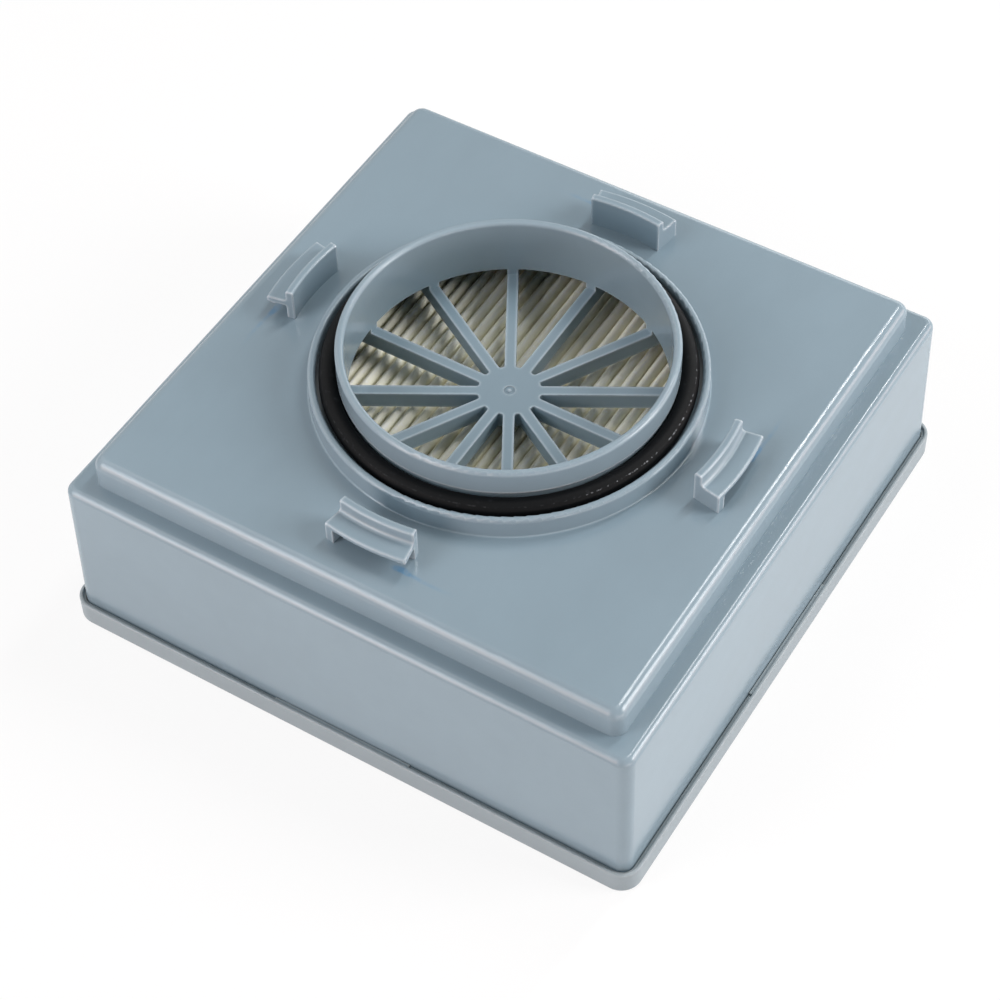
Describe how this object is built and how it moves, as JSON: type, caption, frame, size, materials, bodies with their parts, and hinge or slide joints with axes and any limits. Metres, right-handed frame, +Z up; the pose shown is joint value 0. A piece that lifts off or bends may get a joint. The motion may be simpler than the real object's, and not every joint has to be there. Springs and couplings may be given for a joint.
{
  "type": "vacuum hepa filter",
  "caption": "Square filter cassette: stepped moulded housing with a round spoked port, rubber seal ring and bayonet hooks, over pleated paper bonded in a windowed base frame.",
  "frame": {"origin": "middle of the underside of the base frame, on the axis of the port", "axes": "+Z up through the port, X and Y along the sides, pleats running along Y"},
  "size_m": [0.1502, 0.1502, 0.066],
  "materials": {
    "housing": "satin",
    "o_ring": "smooth",
    "pleated_media": "matte paper",
    "edge_sealant": "cast",
    "base_frame": "satin"
  },
  "bodies": {
    "root": {"housing": "housing", "o_ring": "o_ring", "pleated_media": "pleated_media", "edge_sealant": "edge_sealant", "base_frame": "base_frame"}
  },
  "joints": []
}
